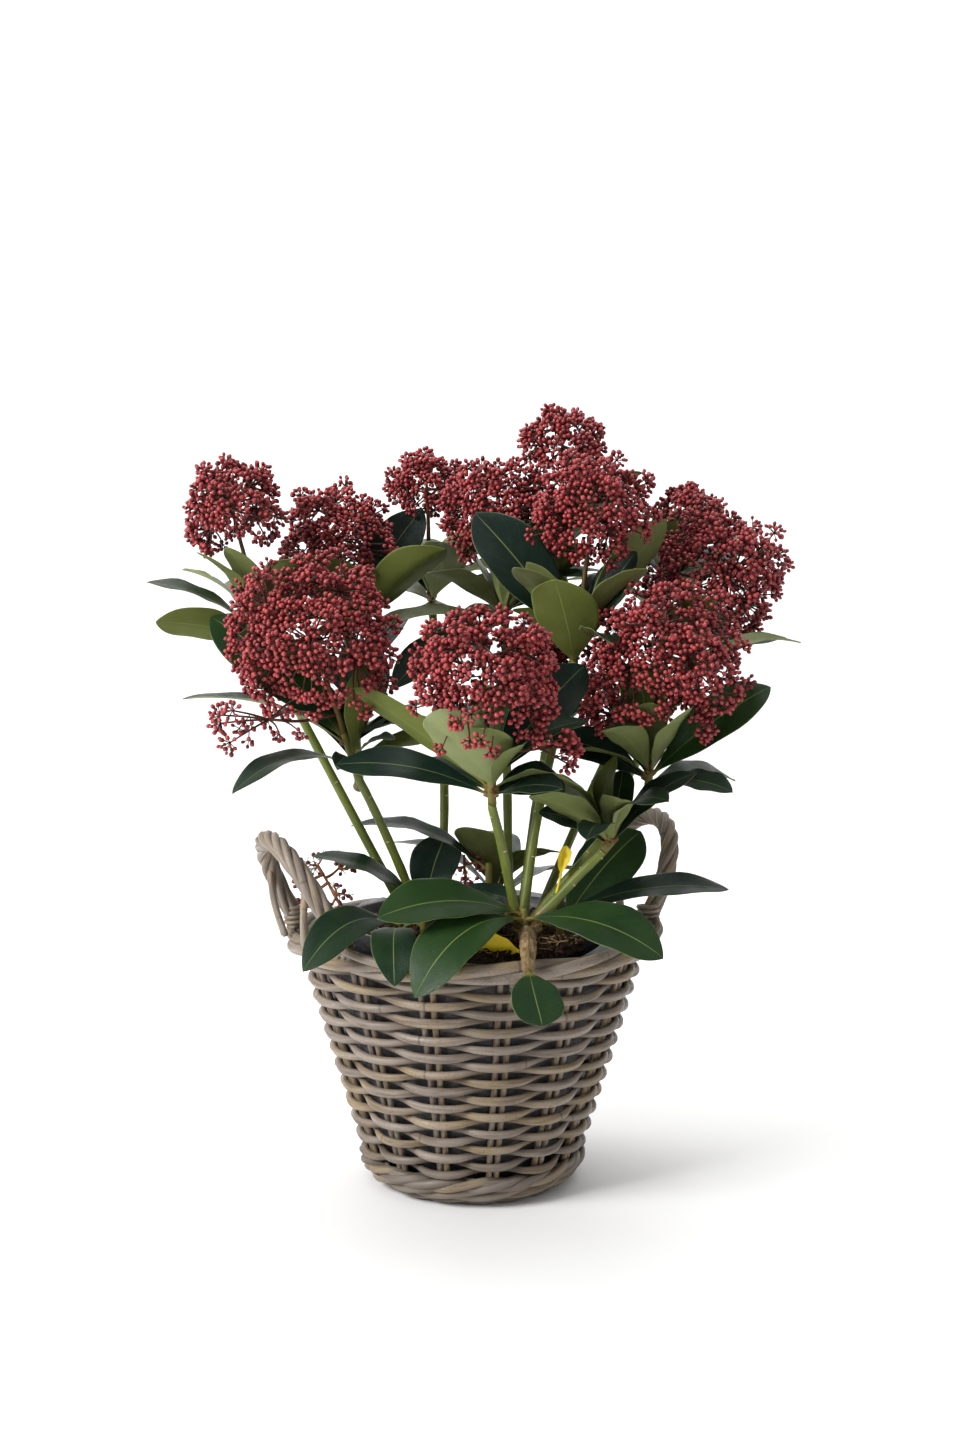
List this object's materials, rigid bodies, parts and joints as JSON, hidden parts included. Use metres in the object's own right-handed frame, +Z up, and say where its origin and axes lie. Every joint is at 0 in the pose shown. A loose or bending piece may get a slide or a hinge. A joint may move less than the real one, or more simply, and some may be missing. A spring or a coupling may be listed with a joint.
{
  "type": "potted skimmia in a woven rattan basket",
  "caption": "Young skimmia shrub in bud, in a nursery pot inside a round woven rattan basket with rope handles and a thin grey liner.",
  "frame": {"origin": "middle of the flat underside of the basket, on the surface that it stands on", "axes": "+Z up the plant, X through the two handles, and -Y towards the side that the plant shows best, turned 24 degrees from the middle of that side"},
  "size_m": [0.4654, 0.3455, 0.5656],
  "materials": {
    "rattan": "weathered grey-brown woven rattan",
    "grey_liner": "thin grey plastic foil, softly creased",
    "dark_pot": "dark blue-black moulded plastic",
    "peat": "dark moist peat with pale fibres",
    "bark": "rough tan bark",
    "green_stem": "smooth olive-green young bark with pale leaf scars",
    "leaf": "leathery dark green, slightly glossy above and pale below",
    "bud": "waxy coral-red to crimson buds on dark red stalks",
    "dried": "dry tan-brown dead flower stalks and buds",
    "yellow_leaf": "fallen leaf turned clear yellow"
  },
  "bodies": {
    "root": {"basket_base": "rattan", "basket_liner": "grey_liner", "basket_rim": "rattan", "basket_wall": "rattan", "dried_flowers_left": "dried", "dried_flowers_mid": "dried", "fallen_leaf": "yellow_leaf", "flowers_back_left": "bud", "flowers_back_mid": "bud", "flowers_front": "bud", "flowers_inner": "bud", "flowers_left_back": "bud", "flowers_left_front": "bud", "flowers_mid": "bud", "flowers_mid_right": "bud", "flowers_right_back": "bud", "flowers_right_front": "bud", "flowers_right_top": "bud", "flowers_top": "bud", "handle_left": "rattan", "handle_right": "rattan", "leaves_back_left": "leaf", "leaves_back_mid": "leaf", "leaves_foot": "leaf", "leaves_front": "leaf", "leaves_inner": "leaf", "leaves_left_back": "leaf", "leaves_left_front": "leaf", "leaves_low_back": "leaf", "leaves_low_inner": "leaf", "leaves_low_left": "leaf", "leaves_low_mid": "leaf", "leaves_low_right": "leaf", "leaves_mid": "leaf", "leaves_mid_right": "leaf", "leaves_right_back": "leaf", "leaves_right_front": "leaf", "leaves_right_low": "leaf", "leaves_right_top": "leaf", "leaves_rim": "leaf", "leaves_top": "leaf", "nursery_pot": "dark_pot", "soil": "peat", "stem_back_left": "green_stem", "stem_back_mid": "green_stem", "stem_front": "green_stem", "stem_inner": "green_stem", "stem_left_back": "green_stem", "stem_left_front": "green_stem", "stem_mid": "green_stem", "stem_mid_right": "green_stem", "stem_right_back": "green_stem", "stem_right_front": "green_stem", "stem_right_low": "green_stem", "stem_right_top": "green_stem", "stem_top": "green_stem", "trunk": "bark"}
  },
  "joints": []
}
